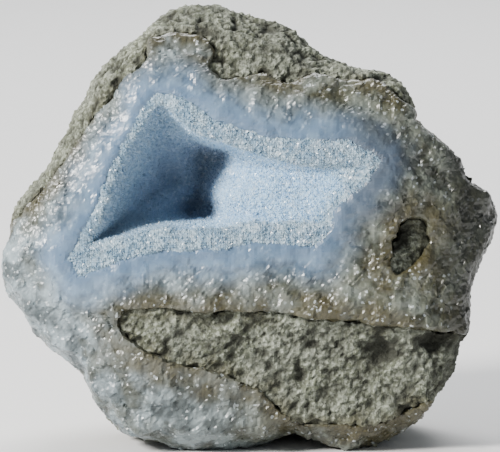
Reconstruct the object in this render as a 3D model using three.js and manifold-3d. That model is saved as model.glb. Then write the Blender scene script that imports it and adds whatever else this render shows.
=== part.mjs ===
// A hand-size geode: a block of grey-green volcanic rock, the wall of milky quartz and blue chalcedony that
// grew in a cavity of it, and the crust of small quartz crystals that lines the hollow left in the middle.
// Millimetres, +Z up. The stone stands on a flat broken foot at z = 0, and its broken face looks along -Y.
import * as THREE from "three";
import { ImprovedNoise } from "three/addons/math/ImprovedNoise.js";
import { mergeVertices } from "three/addons/utils/BufferGeometryUtils.js";
import Module from "manifold-3d";

const wasm = await Module();
wasm.setup();

// Driving dimensions. Shapes are drawn on the broken face: x to the right from its middle, y up from the
// foot, z out of the face towards the viewer, with z = 0 on the face beside the hollow.
const DEPTH = 74; // broken face to the back of the stone
const LEAN = THREE.MathUtils.degToRad(8); // the face leans back as the stone stands on its foot
const RIM_DEPTH = 14; // how far behind the face the stone is widest
const RIGHT_RIM_DEPTH = 26; // the same on the right, where the flank falls away
const GAP = 0.3; // contact between two kinds of stone
const ROCK_STEP = 2.6; // the quartz stands this far proud of the rock beside it
const WALL_DEPTH = 45; // face to the back of the quartz wall
const HOLLOW_DEPTH = 31; // deepest point of the hollow, on its left
const MOUND_DEPTH = 7; // top of the crystal mound on the hollow's right
const MOUND_FALL = 4; // from its top to its shoulder
const MOUND_RADIUS = 21;
const SHOULDER_INSIDE = 5; // the mound's side begins this far inside its radius
const SHOULDER_OUTSIDE = 4; // and ends this far outside it, on the floor
const CRUST = 4; // thickness of the crystal crust
const LIP_PROUD = 0.7; // the crust's lip stands out of the face
const STEEP_WALL = 4; // width of the hollow's walls above and below, seen on the face
const LEFT_WALL = 17; // and of its sloping ends
const RIGHT_WALL = 22;
const CRYSTAL_HEIGHT = 0.8;
const CRYSTAL_VARIETY = 0.8; // share of the height that changes from crystal to crystal
const SMALLEST_CRYSTAL = 5; // area of its foot
const WELD = 1e-4; // corners closer than this are one

// Relief of each surface: lumps of a height and a width. The nodule's are shares of its own size.
const QUARTZ_RELIEF = [{ height: 0.9, width: 13 }, { height: 0.6, width: 5.5 }];
const ROCK_RELIEF = [{ height: 1.2, width: 10 }, { height: 1.1, width: 4.5 }];
const FLOOR_RELIEF = [{ height: 1.2, width: 7 }];
const NODULE_RELIEF = [{ height: 0.06, width: 0.4 }];
const CRYSTAL_RELIEF = [{ height: CRYSTAL_VARIETY, width: 1.7 }];

const CORE = new THREE.Vector3(0, 53, -30); // middle of the stone
const NODULE_CENTRE = new THREE.Vector3(-4, 52, -2); // the quartz filled a rounded cavity about this point
const NODULE_RADII = new THREE.Vector3(78, 64, WALL_DEPTH + NODULE_CENTRE.z);
const HOLLOW_CENTRE = new THREE.Vector2(-12, 64);
const MOUND_CENTRE = new THREE.Vector2(12, 59);

// The hollow's sloping ends: the way each one lies from the hollow's centre, and the cosines between which
// it begins.
const LEFT_END = { way: Math.PI - 0.3, from: 0.3, to: 0.9 };
const RIGHT_END = { way: -0.1, from: 0.93, to: 0.99 };

// Mesh density: the number of cuts in each edge of an icosahedron.
const STONE_CUTS = 12;
const NODULE_CUTS = 4;
const HOLLOW_CUTS = 6;

// The stone's outline on the face, anticlockwise from the tip of the right flank.
const OUTLINE = [
  [60, 59], [57.5, 63], [53, 66], [50.5, 71], [47, 75], [43, 78], [39, 81.5], [39, 86.5], [36.5, 89.5],
  [27.5, 92.5], [19, 95], [16, 97], [13, 100.5], [5, 104], [-5, 107.5], [-11, 108.5], [-18.5, 107.5],
  [-23.5, 104], [-27, 100], [-34.5, 94.5], [-38, 90.5], [-39.5, 85.5], [-43.5, 78.5], [-48, 71], [-53, 63],
  [-57.5, 58.5], [-58, 53], [-60, 48], [-60, 42.5], [-58, 37.5], [-53.5, 33.5], [-50.5, 26.5], [-41, 20],
  [-38.5, 14.5], [-33, 6], [-30.5, 4.8], [-23, 3.4], [-15.5, 0.7], [-9, 0], [-1, 1.4], [3, 1.9], [8.5, 4.6],
  [14, 6], [16, 3.4], [20.5, 0.5], [27, 0.5], [35, 3.6], [43, 10.5], [49, 19], [50.5, 25.5], [53, 29],
  [53.5, 34], [53.5, 41], [55, 45.5], [58.5, 53],
];

// Where the quartz shows on the face. Points beyond the outline only close the shape outside the stone: on
// the left, at the bottom and on the right the quartz runs out to the edge, and rock caps the top and fills
// a bay low on the right.
const QUARTZ_EDGE = [
  [-60, 53.5], [-55, 57.5], [-49.5, 64], [-44, 70.5], [-40, 77], [-36.5, 82.5], [-33, 85], [-30, 90],
  [-25, 94.5], [-24, 100], [-16, 101], [-10.5, 99.5], [-8.5, 96.5], [-11, 92.5], [-6.5, 89.5], [2, 91.5],
  [9.5, 89], [15.5, 91.5], [21.5, 89.8], [30.5, 89.8], [36, 85.5], [40, 82.5], [53, 94], [72, 80], [72, 36],
  [55, 28.5], [51, 29], [43, 30.2], [36, 30.7], [29, 31.7], [17, 32.6], [5, 34.3], [-2.5, 34.8],
  [-12, 34.5], [-24, 35.3], [-30.5, 35], [-32.5, 32], [-30, 28], [-25, 24.5], [-20.5, 22], [-12, 20.5],
  [-4.5, 18], [3, 14.5], [7.5, 9.5], [12, 6.8], [19, 6.8], [29, 6.8], [36, 9], [42, 12], [53, 15],
  [53, -12], [-42, -12], [-66, 12], [-66, 46],
];

// A vug in the quartz, right of the hollow, with rock inside it.
const VUG_EDGE = [
  [33.3, 45.5], [35, 42.5], [38, 44.2], [42, 47.3], [43.2, 52], [42, 56.4], [38, 57.1], [35, 55.2],
  [33.7, 51],
];

// The outer edge of the crystal crust on the face, anticlockwise from the hollow's right tip.
const CRUST_EDGE = [
  [32.6, 68.2], [31.7, 72], [29.5, 75.6], [22.8, 75.6], [14.4, 75.1], [4.8, 76.3], [-2.4, 78.2],
  [-8.4, 80.6], [-13.2, 83.5], [-17.3, 86.4], [-21.6, 87.4], [-24.7, 86.2], [-26.9, 80.9], [-30.7, 74.9],
  [-34.1, 68.9], [-36, 63.4], [-37, 58.6], [-41.3, 52.8], [-45.1, 48.5], [-40.8, 42.5], [-34.8, 44.6],
  [-28.8, 47], [-21.6, 49], [-12, 49.4], [-2.4, 50.4], [3.6, 50.9], [9.6, 50.2], [14.9, 49.2], [18.5, 50.9],
  [20.2, 55.2], [21.8, 59.5], [24.5, 61.9], [28.8, 65],
];

// The mouth of the hollow inside that crust.
const MOUTH_EDGE = [
  [31, 68.2], [29.3, 69.6], [23.3, 70.8], [13.9, 70.8], [7.7, 71], [0, 73.2], [-5.3, 75.6], [-8.9, 76.3],
  [-12.2, 77.8], [-15.4, 79.9], [-18.7, 83.8], [-22, 85.4], [-23.8, 84.7], [-25.9, 80.4], [-29.8, 74.4],
  [-32.6, 68.4], [-34.3, 63.1], [-35.2, 58.3], [-38.7, 52.6], [-41.5, 48.3], [-39.8, 46.3], [-35.6, 48.8],
  [-31, 50.9], [-25, 52.6], [-21.6, 53.8], [-12, 54], [-7.7, 53.5], [1, 55.2], [7.4, 54.4], [12, 52.4],
  [16, 51], [19.4, 55.2], [21, 59.5], [24, 62.4], [28, 65.5],
];

// Planes that the stone broke along, each by its outward normal and a point on it.
const FRACTURES = [
  { normal: [0, 0, 1], through: [0, 60, 0] },
  { normal: [0.45, 0.05, 0.9], through: [33, 60, 0] },
  { normal: [0.5, -0.3, 0.81], through: [43, 30, -3] },
  { normal: [0.12, 0.5, 0.86], through: [0, 86, 0] },
  { normal: [-0.4, 0.25, 0.88], through: [-36, 68, 0] },
  { normal: [-0.3, -0.3, 0.9], through: [-38, 40, 0] },
  { normal: [0.05, -0.32, 0.94], through: [0, 31, 0] },
  { normal: [0.1, 0.2, -0.97], through: [0, 53, -72] },
  { normal: [-0.66, 0.1, -0.75], through: [-41, 53, -54] },
  { normal: [0.7, -0.1, -0.7], through: [43, 53, -57] },
  { normal: [0.1, 0.72, -0.69], through: [0, 90, -46] },
  { normal: [-0.45, -0.5, -0.74], through: [-24, 22, -56] },
  { normal: [0.6, 0.62, -0.5], through: [32, 82, -36] },
].map(({ normal, through }) => {
  const outward = new THREE.Vector3(...normal).normalize();
  return { outward, distance: outward.dot(new THREE.Vector3(...through).sub(CORE)) };
});

// Pits in the rock's face: two in the lower bay, the floor of the vug, and the holes in the cap.
const PITS = [
  { at: [32, 23], radius: 3.6, depth: 3.2 },
  { at: [47, 26], radius: 3.4, depth: 3 },
  { at: [-8, 31], radius: 3, depth: 1.6 },
  { at: [35, 51], radius: 3.4, depth: 4.5 },
  { at: [1.5, 102], radius: 3.2, depth: 3 },
  { at: [-7, 105], radius: 2.4, depth: 2 },
  { at: [11, 94.5], radius: 2.6, depth: 2.2 },
  { at: [22, 92], radius: 2.2, depth: 1.8 },
];

const STANDING = new THREE.Matrix4()
  .makeRotationX(Math.PI / 2 - LEAN)
  .setPosition(0, 0, RIM_DEPTH * Math.sin(LEAN)); // the outline's lowest point comes down to z = 0

const { smoothstep, lerp } = THREE.MathUtils;
const perlin = new ImprovedNoise();

// The height of a surface's lumps at a point.
function lumps(point, relief) {
  return relief.reduce((sum, { height, width }) => {
    return sum + height * perlin.noise(point.x / width, point.y / width, point.z / width);
  }, 0);
}

// The radius of a closed outline about a centre, as a function of the angle.
function polarRadius(points, centre) {
  const spokes = points
    .map(([x, y]) => new THREE.Vector2(x, y).sub(centre))
    .map((spoke) => ({ angle: spoke.angle(), radius: spoke.length() }))
    .sort((a, b) => a.angle - b.angle);
  const first = spokes[0];
  const last = spokes.at(-1);
  spokes.unshift({ angle: last.angle - 2 * Math.PI, radius: last.radius });
  spokes.push({ angle: first.angle + 2 * Math.PI, radius: first.radius });
  return (angle) => {
    const next = spokes.findIndex((spoke) => spoke.angle >= angle);
    const [a, b] = [spokes[Math.max(next - 1, 0)], spokes[Math.max(next, 1)]];
    return lerp(a.radius, b.radius, (angle - a.angle) / (b.angle - a.angle));
  };
}

// A ball of even triangles, each corner of which is moved to place(angle, turn): angle goes round the face,
// and turn from 0 at the front pole to 1 at the back pole.
function mouldedBall(cuts, place) {
  const ball = new THREE.IcosahedronGeometry(1, cuts);
  const { position } = ball.attributes;
  const corner = new THREE.Vector3();
  for (let i = 0; i < position.count; i++) {
    corner.fromBufferAttribute(position, i);
    const angle = (Math.atan2(corner.y, corner.x) + 2 * Math.PI) % (2 * Math.PI);
    const turn = Math.acos(THREE.MathUtils.clamp(corner.z, -1, 1)) / Math.PI;
    const point = place(angle, turn);
    position.setXYZ(i, point.x, point.y, point.z);
  }
  return ball;
}

// The same closed geometry with its skin drawn in.
function shrunk(geometry, inset) {
  geometry.deleteAttribute("normal");
  geometry.deleteAttribute("uv");
  const merged = mergeVertices(geometry, WELD);
  merged.computeVertexNormals();
  const { position, normal } = merged.attributes;
  const corner = new THREE.Vector3();
  const outward = new THREE.Vector3();
  for (let i = 0; i < position.count; i++) {
    corner.fromBufferAttribute(position, i);
    corner.addScaledVector(outward.fromBufferAttribute(normal, i), -inset);
    position.setXYZ(i, corner.x, corner.y, corner.z);
  }
  return merged;
}

// A closed geometry as a solid. What is drawn on the face is turned to the stone's standing pose.
function solid(geometry, pose = STANDING) {
  geometry.deleteAttribute("normal");
  geometry.deleteAttribute("uv");
  const merged = mergeVertices(geometry.applyMatrix4(pose), WELD);
  return new wasm.Manifold(
    new wasm.Mesh({
      numProp: 3,
      vertProperties: new Float32Array(merged.attributes.position.array),
      triVerts: new Uint32Array(merged.index.array),
    }),
  );
}

const outlineRadius = polarRadius(OUTLINE, new THREE.Vector2(CORE.x, CORE.y));

// A quarter of a rounded box, from its side at turn 0 to its end at turn 1: how far across and how far
// along.
function roundedBox(turn, exponent) {
  const across = Math.cos((turn * Math.PI) / 2);
  const along = Math.sin((turn * Math.PI) / 2);
  const size = (Math.abs(across) ** exponent + along ** exponent) ** (1 / exponent);
  return { across: across / size, along: along / size };
}

// The whole block: the outline swept round from the face to the back, clipped by the fractures, with a skin
// on it.
function block(skin) {
  const frontTurn = 0.62; // the face has most of the triangles
  const towardsRim = 1.3; // and they are smaller near its rim
  const frontEdge = 5; // exponents of the rounding between face, flank and back
  const backEdge = 3.6;
  const flankEdge = 6; // and of the way the right flank fades out above and below
  return mouldedBall(STONE_CUTS, (angle, turn) => {
    const flank = Math.max(0, Math.cos(angle)) ** flankEdge;
    const rim = lerp(RIM_DEPTH, RIGHT_RIM_DEPTH, flank);
    const onFace = turn <= frontTurn;
    const back = roundedBox((turn - frontTurn) / (1 - frontTurn), backEdge);
    const share = onFace ? 1 - (1 - turn / frontTurn) ** towardsRim : back.across;
    const front = rim * (1 - (1 - share ** frontEdge) ** (1 / frontEdge));
    const z = onFace ? -front : -rim - (DEPTH - rim) * back.along;
    const reach = share * outlineRadius(angle);
    const spoke = new THREE.Vector3(reach * Math.cos(angle), reach * Math.sin(angle), z - CORE.z);
    for (const { outward, distance } of FRACTURES) {
      const out = outward.dot(spoke);
      if (out > distance) spoke.multiplyScalar(distance / out);
    }
    const point = spoke.clone().add(CORE);
    return point.add(spoke.normalize().multiplyScalar(skin(point)));
  });
}

// Broken quartz: low rounded lumps.
function quartzSkin(point) {
  return lumps(point, QUARTZ_RELIEF);
}

// The same surface where crystals cover it.
function lipSkin(point) {
  return quartzSkin(point) + LIP_PROUD;
}

// Weathered rock: rough and pitted, and a step lower than the quartz on the face.
function rockSkin(point) {
  const faceBack = -13; // the step fades out between these places
  const faceFront = -4;
  const onFace = smoothstep(point.z, faceBack, faceFront);
  const pitted = PITS.reduce((sum, { at, radius, depth }) => {
    const away = Math.hypot(point.x - at[0], point.y - at[1]);
    return sum + depth * Math.exp(-((away / radius) ** 2));
  }, 0);
  return lumps(point, ROCK_RELIEF) - onFace * (ROCK_STEP + pitted);
}

// The quartz's own space in the block: its edge on the face, carried back into a rounded nodule.
function quartzSpace(grow) {
  const front = 20; // clear of the face
  const back = -DEPTH;
  const shape = new THREE.Shape(QUARTZ_EDGE.map(([x, y]) => new THREE.Vector2(x, y)));
  shape.closePath();
  shape.holes.push(new THREE.Path(VUG_EDGE.map(([x, y]) => new THREE.Vector2(x, y))));
  const bevel = { bevelEnabled: grow > 0, bevelSegments: 1, bevelSize: grow, bevelThickness: 1 };
  const sweep = { depth: front - back, steps: 1, ...bevel };
  const prism = new THREE.ExtrudeGeometry(shape, sweep).translate(0, 0, back);
  const radii = NODULE_RADII.clone().addScalar(grow);
  const nodule = mouldedBall(NODULE_CUTS, (angle, turn) => {
    const across = Math.sin(turn * Math.PI);
    const along = Math.cos(turn * Math.PI);
    const outward = new THREE.Vector3(across * Math.cos(angle), across * Math.sin(angle), along);
    const swell = 1 + lumps(outward, NODULE_RELIEF);
    return outward.multiply(radii).multiplyScalar(swell).add(NODULE_CENTRE);
  });
  return solid(prism).intersect(solid(nodule));
}

// How deep the hollow's floor is at a point of its mouth: deep on the left, with a mound on the right.
function floorDepth(x, y) {
  const fromMound = Math.hypot(x - MOUND_CENTRE.x, y - MOUND_CENTRE.y);
  const mound = MOUND_DEPTH + MOUND_FALL * (fromMound / MOUND_RADIUS) ** 2;
  const beyond = smoothstep(fromMound, MOUND_RADIUS - SHOULDER_INSIDE, MOUND_RADIUS + SHOULDER_OUTSIDE);
  return lerp(mound, HOLLOW_DEPTH, beyond) + lumps(new THREE.Vector3(x, y, 0), FLOOR_RELIEF);
}

// The distance of a point from a closed outline.
function distanceToEdge(edge, x, y) {
  const point = new THREE.Vector3(x, y, 0);
  const nearest = new THREE.Vector3();
  const distances = edge.map(([ax, ay], i) => {
    const [bx, by] = edge[(i + 1) % edge.length];
    const side = new THREE.Line3(new THREE.Vector3(ax, ay, 0), new THREE.Vector3(bx, by, 0));
    return side.closestPointToPoint(point, true, nearest).distanceTo(point);
  });
  return Math.min(...distances);
}

// A pocket sunk in the face: a straight chimney down to its edge, then walls that are steep above and below
// and slope at the ends, down to a floor that is lowered by deeper.
function pocket(edge, deeper) {
  const above = 12; // the chimney's top, clear of the face
  const mouthTurn = 0.35; // the chimney's share of the ball
  const topTurn = mouthTurn / 1.3; // and its flat top's
  const radius = polarRadius(edge, HOLLOW_CENTRE);
  return mouldedBall(HOLLOW_CUTS, (angle, turn) => {
    const inside = turn > mouthTurn;
    const round = ((turn - mouthTurn) / (1 - mouthTurn)) * (Math.PI / 2);
    const share = inside ? Math.cos(round) : Math.min(1, turn / topTurn);
    const reach = share * radius(angle);
    const x = HOLLOW_CENTRE.x + reach * Math.cos(angle);
    const y = HOLLOW_CENTRE.y + reach * Math.sin(angle);
    if (!inside) return new THREE.Vector3(x, y, above);
    const [left, right] = [LEFT_END, RIGHT_END].map(({ way, from, to }) => {
      return smoothstep(Math.cos(angle - way), from, to);
    });
    const wall = STEEP_WALL + left * (LEFT_WALL - STEEP_WALL) + right * (RIGHT_WALL - STEEP_WALL);
    const down = 1 - (1 - Math.min(1, distanceToEdge(edge, x, y) / wall)) ** 2;
    return new THREE.Vector3(x, y, -down * (floorDepth(x, y) + deeper));
  });
}

// Covers a pocket's walls and floor with three-sided crystal points, one on each triangle that has room for
// it.
function withCrystals(geometry) {
  const corners = geometry.attributes.position;
  const points = [];
  for (let i = 0; i < corners.count; i += 3) {
    const [a, b, c] = [0, 1, 2].map((k) => new THREE.Vector3().fromBufferAttribute(corners, i + k));
    const triangle = new THREE.Triangle(a, b, c);
    if (Math.max(a.z, b.z, c.z) > 0 || triangle.getArea() < SMALLEST_CRYSTAL) {
      points.push(a, b, c);
    } else {
      const tip = triangle.getMidpoint(new THREE.Vector3());
      const height = CRYSTAL_HEIGHT * (1 + lumps(tip, CRYSTAL_RELIEF));
      tip.addScaledVector(triangle.getNormal(new THREE.Vector3()), -height);
      points.push(a, b, tip, b, c, tip, c, a, tip);
    }
  }
  return new THREE.BufferGeometry().setFromPoints(points);
}

function nodeMesh(name, made, finish) {
  const { vertProperties, triVerts } = made.getMesh();
  const geometry = new THREE.BufferGeometry()
    .setAttribute("position", new THREE.BufferAttribute(vertProperties, 3))
    .setIndex(new THREE.BufferAttribute(triVerts, 1));
  geometry.computeVertexNormals();
  const material = new THREE.MeshStandardMaterial({ metalness: 0, flatShading: true, ...finish });
  const mesh = new THREE.Mesh(geometry, material);
  mesh.name = name;
  return mesh;
}

// Everything below the foot.
const groundSize = 400;
const underfoot = new THREE.Matrix4().makeTranslation(0, 0, -groundSize / 2);
const ground = solid(new THREE.BoxGeometry(groundSize, groundSize, groundSize), underfoot);

const hostRock = solid(block(rockSkin)).subtract(quartzSpace(GAP)).subtract(ground);
const quartzWall = solid(block(quartzSkin))
  .intersect(quartzSpace(0))
  .subtract(solid(pocket(CRUST_EDGE, CRUST)))
  .subtract(ground);
const druseCrust = solid(shrunk(pocket(CRUST_EDGE, CRUST), GAP))
  .intersect(solid(block(lipSkin)))
  .subtract(solid(withCrystals(pocket(MOUTH_EDGE, 0))));

const geode = new THREE.Group();
geode.add(
  nodeMesh("host_rock", hostRock, { color: 0x7d8271, roughness: 0.95 }),
  nodeMesh("quartz_wall", quartzWall, { color: 0x9aa3a6, roughness: 0.45 }),
  nodeMesh("druse_crust", druseCrust, { color: 0xc3d6e4, roughness: 0.3 }),
);

// The origin is at the middle of the foot, under the middle of the stone's box.
const middle = new THREE.Box3().setFromObject(geode).getCenter(new THREE.Vector3());
geode.position.set(-middle.x, -middle.y, 0);

export default geode;
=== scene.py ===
"""A broken geode on a pale table: rough rock, granular quartz with a blue band, and sugary druse."""

import math
import random

import bmesh
import bpy
from mathutils import Matrix, Vector, noise
from mathutils.kdtree import KDTree


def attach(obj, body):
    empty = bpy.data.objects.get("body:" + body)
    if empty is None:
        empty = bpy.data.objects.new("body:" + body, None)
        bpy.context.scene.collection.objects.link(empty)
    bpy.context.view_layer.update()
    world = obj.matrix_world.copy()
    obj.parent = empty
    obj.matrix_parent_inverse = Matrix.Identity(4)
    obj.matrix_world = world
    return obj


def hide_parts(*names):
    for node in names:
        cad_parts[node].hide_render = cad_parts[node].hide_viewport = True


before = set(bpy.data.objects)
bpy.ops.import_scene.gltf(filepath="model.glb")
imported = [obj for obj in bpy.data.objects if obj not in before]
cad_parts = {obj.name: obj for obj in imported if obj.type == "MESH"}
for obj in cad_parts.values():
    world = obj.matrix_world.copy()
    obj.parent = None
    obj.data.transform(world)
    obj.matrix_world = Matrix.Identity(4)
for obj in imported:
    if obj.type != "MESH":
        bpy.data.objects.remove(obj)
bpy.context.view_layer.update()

# Sizes in metres, as measured on the stone.
MM = 0.001
ROCK_MESH = 0.76 * MM  # edge of the fine meshes' squares
QUARTZ_MESH = 0.70 * MM
DRUSE_MESH = 0.56 * MM
SAME_CORNER = 0.001 * MM  # corners closer than this are one
CONTACT = 0.2 * MM  # closes the solids' narrow gaps between rock, quartz and crust

# Rock: the width and height of what makes it rough, and its contact with the quartz.
ROCK_LUMP = 5.0 * MM
ROCK_LUMP_HEIGHT = 0.6 * MM
GRAIN = 1.6 * MM
GRAIN_HEIGHT = 1.3 * MM
SMALL_PIT = 2.6 * MM
SMALL_PIT_DEPTH = 2.0 * MM
SMALL_PIT_LEVEL = 0.3  # noise above this is a pit
SEAM_WIDTH = 2.5 * MM  # rock swells here against the quartz
SEAM_SWELL = 0.5 * MM
SEAM_STAIN_WANDER = 3.0 * MM

# The largest pits in the rock's face: across, up, and how far each one reaches.
PITS = ((0.032, 0.025, 3.2 * MM), (0.0445, 0.0275, 2.8 * MM), (0.036, 0.0535, 3.0 * MM))
PIT_DEPTH = 2.5 * MM
PIT_EDGE = 1.6  # a pit fades out at its reach times this
FACE_ZONE = 10.0 * MM  # the pits lie no further behind the middle of the face

# Quartz: its broken lumps and faces, the blue chalcedony round the crust, and the iron stain beside the rock.
QUARTZ_LUMP = 7.0 * MM
QUARTZ_LUMP_HEIGHT = 0.6 * MM
LARGE_FACET = 4.2 * MM
LARGE_FACET_HEIGHT = 0.4 * MM
SMALL_FACET = 1.7 * MM
SMALL_FACET_HEIGHT = 0.26 * MM
SMALL_FACET_SHIFT = Vector((0.3, 0.1, 0.2))  # keeps the two heaps of facets apart
FACET_SLOPE = 2.2
BAND_WIDTH = 9.5 * MM
BAND_START = 1.5 * MM
BAND_SWELL = 0.5 * MM
BAND_SMOOTH = 0.8  # share of the facets that the band takes away
STAIN_WIDTH = 8.0 * MM
STAIN_START = 1.2 * MM
WANDER = 2.4 * MM  # how far the edges of band and stain stray
WANDER_WIDTH = 8.0 * MM

# Druse: the hollow, its mound and its crystals.
HOLLOW_DEPTH = 31.0 * MM
LIP_DEPTH = 2.2 * MM  # the crust's lip ends this far behind the face
MOUTH = Vector((-0.012, -0.0331, 0.0653))  # on the face, in front of the hollow
MOUND_MIDDLE = Vector((0.012, -0.0337, 0.0604))  # on the face, in front of the mound
MOUND_RADIUS = 19.0 * MM
MOUND_SWELL = 1.2 * MM
MOUND_START = 5.0 * MM  # the swelling begins over this depth below the lip
CRUST_SWELL = 3 * CONTACT
CRUST_LUMP = 5.0 * MM
CRUST_LUMP_HEIGHT = 0.4 * MM
HOLLOW_SMOOTHINGS = 40
CRUST_SMOOTHINGS = 5
JITTER = 0.26  # shares of the mesh's edge: stray of its corners, height of the crystals, stray of their tips
CRYSTAL_HEIGHTS = (0.15, 0.95)
TIP_SWAY = 0.16
DRAW_SEED = 7

# The broken face leans back by this much, and the camera looks straight at it.
LEAN = math.radians(8)
FACE_OUT = Vector((0, -math.cos(LEAN), math.sin(LEAN)))
FACE_MIDDLE = Vector((0.0, -0.0207, 0.0543))
PHOTO_WIDTH = 500
PIXEL = 0.2425 * MM  # the size of a pixel on the face
CAMERA_AWAY = 1.1
SENSOR = 36  # millimetres, as the lens is

# The studio.
SHEET_SIZE = 3.0
BACKDROP_AWAY = 1.6
KEY_PLACE = Vector((-0.79, -0.56, 0.60))
KEY_SIZE = 0.28
WASH_PLACE = Vector((0.0, 0.9, 1.3))
WASH_SIZE = 1.0
LIGHT_WATTS = 30
SKY_STRENGTH = 0.32


def depth_behind_face(point):
    """How far a point lies behind the plane of the broken face beside the hollow."""
    return (MOUTH - point).dot(FACE_OUT)


# Meshes.


def fine_copy(node, name, edge):
    """A copy of a CAD node with its large facets divided into an even fine mesh."""
    bm = bmesh.new()
    bm.from_mesh(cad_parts[node].data)
    bmesh.ops.remove_doubles(bm, verts=bm.verts, dist=SAME_CORNER)
    mesh = bpy.data.meshes.new(name)
    bm.to_mesh(mesh)
    bm.free()
    piece = bpy.data.objects.new(name, mesh)
    bpy.context.collection.objects.link(piece)
    even = piece.modifiers.new("even", "REMESH")
    even.mode = "VOXEL"
    even.voxel_size = edge
    remeshed = piece.evaluated_get(bpy.context.evaluated_depsgraph_get())
    fine = bpy.data.meshes.new_from_object(remeshed)
    piece.modifiers.clear()
    piece.data = fine
    fine.name = name
    return piece


def roughen(piece, height):
    """Moves each vertex along its normal by height(point), and up onto the floor if it would go under it."""
    bm = bmesh.new()
    bm.from_mesh(piece.data)
    bm.normal_update()
    moves = [height(vert.co) for vert in bm.verts]
    for vert, move in zip(bm.verts, moves):
        vert.co += vert.normal * move
        vert.co.z = max(vert.co.z, 0.0)
    bm.to_mesh(piece.data)
    bm.free()


def lumpy(point, width, roughness, octaves):
    """Uneven ground of about -1 to 1, with lumps of this width and finer ones on them."""
    each_finer = 2.1
    return noise.fractal(point / width, roughness, each_finer, octaves)


def facet(point, size):
    """Height of a heap of tilted flat grains, about -1 to 1, and a shade of 0 to 1 for the grain."""
    scatter = 17.3  # sends neighbouring grains to unlike tilts
    cells = point / size
    middle = noise.voronoi(cells)[1][0]
    tilt = noise.cell_vector(middle * scatter) - Vector((0.5, 0.5, 0.5))
    return tilt.x + FACET_SLOPE * (cells - middle).dot(tilt), tilt.y + 0.5


def distance_finder(node):
    """The distance of a point from the nearest corner of a CAD node's mesh."""
    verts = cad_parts[node].data.vertices
    tree = KDTree(len(verts))
    for vert in verts:
        tree.insert(vert.co, vert.index)
    tree.balance()
    return lambda point: tree.find(point)[2]


def keep(mesh, name, values):
    """Stores one number per vertex under a name that the material reads."""
    mesh.attributes.new(name, "FLOAT", "POINT").data.foreach_set("value", values)


def fade(distance, width):
    """1 at the start, falling smoothly to 0 at width."""
    share = min(max(distance / width, 0.0), 1.0)
    return 1 - share * share * (3 - 2 * share)


def pitted(point):
    """1 in the middle of one of the largest pits, falling to 0 around it."""
    if point.y > FACE_MIDDLE.y + FACE_ZONE:
        return 0.0
    return max(
        fade(math.hypot(point.x - across, point.z - up), PIT_EDGE * reach)
        for across, up, reach in PITS
    )


def make_host_rock():
    """The rock with grains and pits. It keeps how far each place is raised and how stained it is."""
    piece = fine_copy("host_rock", "rough_rock", ROCK_MESH)
    to_quartz = distance_finder("quartz_wall")
    raised, stains = [], []

    def height(point):
        quartz = to_quartz(point)
        lumps = lumpy(point, ROCK_LUMP, 0.8, 4)
        grains = 0.5 - noise.voronoi(point / GRAIN)[0][0]
        small_pits = max(0.0, noise.noise(point / SMALL_PIT) - SMALL_PIT_LEVEL)
        pit = pitted(point)
        raised.append(0.5 + 0.3 * lumps + 0.7 * grains - small_pits - 0.7 * pit)
        stains.append(fade(quartz + SEAM_STAIN_WANDER * lumps, 2 * SEAM_WIDTH))
        rough = ROCK_LUMP_HEIGHT * lumps + GRAIN_HEIGHT * grains - SMALL_PIT_DEPTH * small_pits
        return CONTACT + SEAM_SWELL * fade(quartz, SEAM_WIDTH) + rough - PIT_DEPTH * pit

    roughen(piece, height)
    keep(piece.data, "raised", raised)
    keep(piece.data, "stain", stains)
    return piece


def make_quartz_wall():
    """The quartz with broken faces. It keeps each face's shade, the blue band and the stain."""
    piece = fine_copy("quartz_wall", "granular_quartz", QUARTZ_MESH)
    to_crust = distance_finder("druse_crust")
    to_rock = distance_finder("host_rock")
    shades, bands, stains = [], [], []

    def height(point):
        crust = to_crust(point)
        large, shade = facet(point, LARGE_FACET)
        small, fleck = facet(point + SMALL_FACET_SHIFT, SMALL_FACET)
        lumps = lumpy(point, QUARTZ_LUMP, 0.9, 3)
        wander = WANDER * lumpy(point, WANDER_WIDTH, 0.8, 3)
        band = fade(crust - BAND_START + wander, BAND_WIDTH)
        shades.append(0.5 * shade + 0.5 * fleck)
        bands.append(band)
        stains.append(fade(to_rock(point) - STAIN_START + 2 * wander, STAIN_WIDTH))
        facets = LARGE_FACET_HEIGHT * large + SMALL_FACET_HEIGHT * small
        rough = QUARTZ_LUMP_HEIGHT * lumps + (1 - BAND_SMOOTH * band) * facets
        return CONTACT + rough + BAND_SWELL * fade(crust, BAND_WIDTH)

    roughen(piece, height)
    keep(piece.data, "shade", shades)
    keep(piece.data, "band", bands)
    keep(piece.data, "stain", stains)
    return piece


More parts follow.
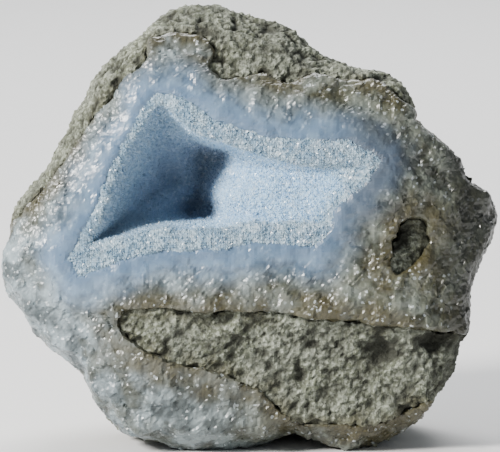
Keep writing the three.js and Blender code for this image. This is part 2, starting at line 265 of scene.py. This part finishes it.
def make_druse_crust():
    """The crust, its hollow smoothed and its mound swollen, with a crystal point on every face."""
    piece = fine_copy("druse_crust", "sugary_druse", DRUSE_MESH)
    draw = random.Random(DRAW_SEED)
    bm = bmesh.new()
    bm.from_mesh(piece.data)
    evenly = {"factor": 0.5, "use_axis_x": True, "use_axis_y": True, "use_axis_z": True}
    hollow = [vert for vert in bm.verts if depth_behind_face(vert.co) > LIP_DEPTH]
    for _ in range(HOLLOW_SMOOTHINGS):
        bmesh.ops.smooth_vert(bm, verts=hollow, **evenly)
    for _ in range(CRUST_SMOOTHINGS):
        bmesh.ops.smooth_vert(bm, verts=bm.verts, **evenly)
    bm.normal_update()
    for vert in bm.verts:
        outward = vert.normal.dot(FACE_OUT)
        inside = 1 - fade(depth_behind_face(vert.co) - LIP_DEPTH, MOUND_START)
        beside = vert.co - MOUND_MIDDLE
        beside -= FACE_OUT * beside.dot(FACE_OUT)
        dome = max(0.0, 1 - (beside.length / MOUND_RADIUS) ** 2)
        jitter = Vector([draw.gauss(0, JITTER) for _ in range(3)])
        swell = CRUST_SWELL + CRUST_LUMP_HEIGHT * noise.noise(vert.co / CRUST_LUMP)
        sideways = vert.normal - FACE_OUT * outward
        rise = MOUND_SWELL * max(0.0, outward) * inside * dome
        vert.co += DRUSE_MESH * jitter + sideways * swell + FACE_OUT * rise
    bm.normal_update()
    points = bmesh.ops.poke(bm, faces=bm.faces, offset=0.0, center_mode="MEAN")["verts"]
    bm.normal_update()
    for tip in points:
        sway = Vector([draw.gauss(0, TIP_SWAY) for _ in range(3)])
        tip.co += DRUSE_MESH * (tip.normal * draw.uniform(*CRYSTAL_HEIGHTS) + sway)
    bm.to_mesh(piece.data)
    bm.free()
    depths = [depth_behind_face(vert.co) / HOLLOW_DEPTH for vert in piece.data.vertices]
    keep(piece.data, "deep", depths)
    return piece


# Materials.


class Value:
    """A number that runs over a surface. Arithmetic on it adds Math nodes."""

    def __init__(self, finish, socket):
        self.finish = finish
        self.socket = socket

    def math(self, operation, first, second):
        return self.finish.node("ShaderNodeMath", {"operation": operation}, {0: first, 1: second})

    def __add__(self, other):
        return self.math("ADD", self, other)

    def __rsub__(self, other):
        return self.math("SUBTRACT", other, self)

    def __mul__(self, other):
        return self.math("MULTIPLY", self, other)

    __radd__ = __add__
    __rmul__ = __mul__


class Finish:
    """A material made of nodes."""

    def __init__(self, name):
        self.material = bpy.data.materials.new(name)
        self.material.use_nodes = True
        self.tree = self.material.node_tree
        self.surface = self.tree.nodes["Principled BSDF"]
        self.place = self.node("ShaderNodeTexCoord", {}, {}, "Object")

    def node(self, kind, settings, inputs, output=0):
        made = self.tree.nodes.new(kind)
        for name, value in settings.items():
            setattr(made, name, value)
        for name, value in inputs.items():
            self.fill(made.inputs[name], value)
        return Value(self, made.outputs[output])

    def fill(self, socket, value):
        if isinstance(value, Value):
            self.tree.links.new(value.socket, socket)
        else:
            socket.default_value = value

    def set(self, **sockets):
        for name, value in sockets.items():
            self.fill(self.surface.inputs[name.replace("_", " ")], value)

    def attribute(self, name):
        return self.node("ShaderNodeAttribute", {"attribute_name": name}, {}, "Fac")

    def cloud(self, size, detail=3.0):
        """Soft noise of 0 to 1 with patches of about this size in metres."""
        inputs = {"Vector": self.place, "Scale": 1 / size, "Detail": detail}
        return self.node("ShaderNodeTexNoise", {}, inputs, "Fac")

    def axis(self, name):
        """The place along X, Y or Z, in metres."""
        return self.node("ShaderNodeSeparateXYZ", {}, {0: self.place}, name)

    def cells(self, size, output="Distance"):
        """Grains of about this size in metres: the distance from each one's middle, or a colour for each."""
        return self.node("ShaderNodeTexVoronoi", {}, {"Vector": self.place, "Scale": 1 / size}, output)

    def between(self, value, low, high):
        """Brings low to high into 0 to 1."""
        limits = {"Value": value, "From Min": low, "From Max": high}
        return self.node("ShaderNodeMapRange", {"interpolation_type": "SMOOTHSTEP"}, limits)

    def mix(self, share, first, second):
        return self.node("ShaderNodeMix", {"data_type": "RGBA"}, {0: share, 6: first, 7: second}, 2)

    def bump(self, height, depth):
        return self.node("ShaderNodeBump", {}, {"Height": height, "Distance": depth, "Strength": 1.0})


def colour(red, green, blue):
    return (red, green, blue, 1.0)


def rock_finish():
    finish = Finish("weathered_rock")
    dark_green = colour(0.15, 0.165, 0.115)
    grey_green = colour(0.22, 0.24, 0.185)
    pale_grain = colour(0.47, 0.50, 0.42)
    rust = colour(0.13, 0.115, 0.055)
    dark_speck_and_shade = colour(0.04, 0.042, 0.03)
    painted_pit_shade = colour(0.022, 0.023, 0.016)
    painted_flank_shade = colour(0.02, 0.021, 0.015)

    raised = finish.between(finish.attribute("raised"), 0.1, 0.85)
    patches = finish.between(finish.cloud(14 * MM), 0.4, 0.62)
    grains = finish.between(finish.cloud(0.9 * MM, 2), 0.42, 0.62)
    dark_speck_and_shade_mask = finish.between(finish.cloud(1.2 * MM, 3), 0.52, 0.66)
    painted_flank_shade_mask = finish.between(finish.axis("X"), 42 * MM, 52 * MM)
    base = finish.mix(patches, dark_green, grey_green)
    base = finish.mix(grains * 0.6, base, pale_grain)
    base = finish.mix(finish.attribute("stain") * 0.6, base, rust)
    # Dark specks about 1 mm across: partly the rock's own dark specks, partly painted shade between its
    # grains.
    base = finish.mix(dark_speck_and_shade_mask * 0.75, base, dark_speck_and_shade)
    # Painted shade: pits, small pits and the gaps between grains, low on the raised map, are darkened.
    base = finish.mix(0.95 - 0.95 * raised, base, painted_pit_shade)
    # Painted shade: the right flank, from 42 to 52 mm across, is darkened as the side turned from the light.
    base = finish.mix(painted_flank_shade_mask * 0.8, base, painted_flank_shade)
    grit = finish.bump(finish.cloud(0.6 * MM, 4), 0.6 * MM)
    finish.set(Base_Color=base, Roughness=0.95, Normal=grit)
    return finish.material


def quartz_finish():
    finish = Finish("milky_quartz")
    clear_left = colour(0.065, 0.085, 0.093)
    clear_right = colour(0.028, 0.031, 0.02)
    milky_left = colour(0.26, 0.32, 0.35)
    milky_right = colour(0.165, 0.185, 0.155)
    olive = colour(0.068, 0.066, 0.034)
    rust = colour(0.062, 0.052, 0.02)
    white = colour(0.66, 0.73, 0.76)
    painted_flank_shade = colour(0.016, 0.017, 0.011)
    deep_blue = colour(0.09, 0.155, 0.255)
    pale_blue = colour(0.135, 0.22, 0.335)
    painted_wall_shade = colour(0.055, 0.065, 0.085)

    band = finish.attribute("band")
    # Darker and more olive towards the right: partly the quartz's own olive tone, partly painted shade on the
    # side turned from the light.
    right = finish.between(finish.axis("X"), -45 * MM, 38 * MM)
    milk = finish.cloud(5.5 * MM, 5) * 0.75 + 0.25 * finish.attribute("shade")
    base = finish.mix(
        finish.between(milk, 0.38, 0.62),
        finish.mix(right, clear_left, clear_right),
        finish.mix(right, milky_left, milky_right),
    )
    base = finish.mix(finish.between(finish.cloud(9 * MM), 0.45, 0.62) * 0.5, base, olive)
    base = finish.mix(finish.attribute("stain") * 0.8, base, rust)
    glints = finish.between(finish.cells(0.6 * MM, "Color"), 0.82, 0.93)
    base = finish.mix(glints * 0.5, base, white)
    painted_flank_shade_mask = finish.between(finish.axis("X"), 41 * MM, 52 * MM)
    # Painted shade: the right flank, from 41 to 52 mm across, is darkened as the side turned from the light.
    base = finish.mix(painted_flank_shade_mask * 0.85, base, painted_flank_shade)

    layers = band.math("SINE", band * 16, 0) * 0.5 + 0.5
    painted_wall_shade_mask = finish.between(finish.axis("X"), 14 * MM, 30 * MM)
    # Painted shade: from 14 to 30 mm across, the blue band turns slate-grey and darker where the hollow's
    # right wall lies in shadow.
    blue = finish.mix(painted_wall_shade_mask * 0.7, finish.mix(layers, deep_blue, pale_blue), painted_wall_shade)
    base = finish.mix(band * 0.9, base, blue)

    gloss = 0.15 + 0.35 * finish.cloud(2 * MM)
    grain = finish.bump(finish.cells(1.1 * MM) * (1 - 0.85 * band), 0.16 * MM)
    finish.set(Base_Color=base, Roughness=gloss, Normal=grain, Specular_IOR_Level=0.6)
    finish.set(Subsurface_Weight=0.15, Subsurface_Radius=(0.8, 0.9, 1.0), Subsurface_Scale=1.5 * MM)
    return finish.material


def druse_finish():
    finish = Finish("sugary_druse")
    lip_blue = colour(0.20, 0.30, 0.395)
    lip_frost = colour(0.34, 0.45, 0.53)
    mound_blue = colour(0.37, 0.57, 0.77)
    painted_slope_shade = colour(0.19, 0.255, 0.33)
    floor_blue = colour(0.25, 0.345, 0.48)
    white = colour(0.78, 0.86, 0.93)

    deep = finish.attribute("deep")
    inside = finish.between(deep, 0.01, 0.07)
    left = 1 - finish.between(finish.axis("X"), -24 * MM, -6 * MM)
    frost = finish.between(finish.cloud(3 * MM), 0.42, 0.62)
    # The lips are darker and greyer than the mound: partly the crust's own colour, partly painted shade on
    # the lips and painted light on the sunlit mound.
    base = finish.mix(inside, finish.mix(frost, lip_blue, lip_frost), mound_blue)
    # Painted shade: inside the hollow, left of -6 mm and most of all left of -24 mm, the crust is greyed and
    # darker.
    base = finish.mix(inside * left * 0.6, base, painted_slope_shade)
    # Deep in the hollow the crust turns bluer and darker: partly its own blue, partly painted shade in the
    # depth.
    base = finish.mix(finish.between(deep, 0.3, 0.8), base, floor_blue)
    sparkle = finish.between(finish.cells(0.7 * MM, "Color"), 0.55, 1.0)
    # Fewer painted sparkles on that shaded left part.
    base = finish.mix(sparkle * (1 - 0.6 * left) * 0.4, base, white)
    finish.set(Base_Color=base, Roughness=0.22)
    finish.set(Subsurface_Weight=0.15, Subsurface_Radius=(0.6, 0.8, 1.0), Subsurface_Scale=1.5 * MM)
    return finish.material


def plain_finish(name, shade):
    finish = Finish(name)
    finish.set(Base_Color=colour(*shade), Roughness=0.8)
    return finish.material


# Table, backdrop, lights and camera.


def make_sheet(name, size, place, material):
    bm = bmesh.new()
    bmesh.ops.create_grid(bm, x_segments=1, y_segments=1, size=size, matrix=place)
    mesh = bpy.data.meshes.new(name)
    bm.to_mesh(mesh)
    bm.free()
    sheet = bpy.data.objects.new(name, mesh)
    sheet.data.materials.append(material)
    bpy.context.collection.objects.link(sheet)


def make_light(name, place, size, tint):
    lamp = bpy.data.lights.new(name, "AREA")
    lamp.size = size
    lamp.energy = LIGHT_WATTS
    lamp.color = tint
    light = bpy.data.objects.new(name, lamp)
    light.location = place
    light.rotation_euler = (FACE_MIDDLE - place).to_track_quat("-Z", "Y").to_euler()
    bpy.context.collection.objects.link(light)


def make_studio():
    pale = plain_finish("pale_table", (0.8, 0.8, 0.8))
    upright = Matrix.Rotation(math.pi / 2, 4, "X")
    make_sheet("table", SHEET_SIZE, Matrix(), pale)
    make_sheet("backdrop", SHEET_SIZE, Matrix.Translation((0, BACKDROP_AWAY, 0)) @ upright, pale)
    make_light("key", KEY_PLACE, KEY_SIZE, (1.0, 0.97, 0.92))
    make_light("backdrop_wash", WASH_PLACE, WASH_SIZE, (1.0, 1.0, 1.0))
    world = bpy.data.worlds.new("studio")
    world.use_nodes = True
    sky = world.node_tree.nodes["Background"]
    sky.inputs["Color"].default_value = colour(0.86, 0.92, 1.0)
    sky.inputs["Strength"].default_value = SKY_STRENGTH
    bpy.context.scene.world = world


def make_camera():
    lens = bpy.data.cameras.new("camera")
    lens.sensor_width = SENSOR
    lens.lens = SENSOR * CAMERA_AWAY / (PHOTO_WIDTH * PIXEL)
    camera = bpy.data.objects.new("camera", lens)
    camera.location = FACE_MIDDLE + CAMERA_AWAY * FACE_OUT
    camera.rotation_euler = FACE_OUT.to_track_quat("Z", "Y").to_euler()
    bpy.context.collection.objects.link(camera)
    bpy.context.scene.camera = camera


for make, finish, node, slot in (
    (make_host_rock, rock_finish, "host_rock", "host_rock"),
    (make_quartz_wall, quartz_finish, "quartz_wall", "quartz"),
    (make_druse_crust, druse_finish, "druse_crust", "druse"),
):
    stone = make()
    stone.data.materials.clear()
    stone.data.materials.append(finish())
    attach(stone, "root")
    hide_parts(node)

make_studio()
make_camera()
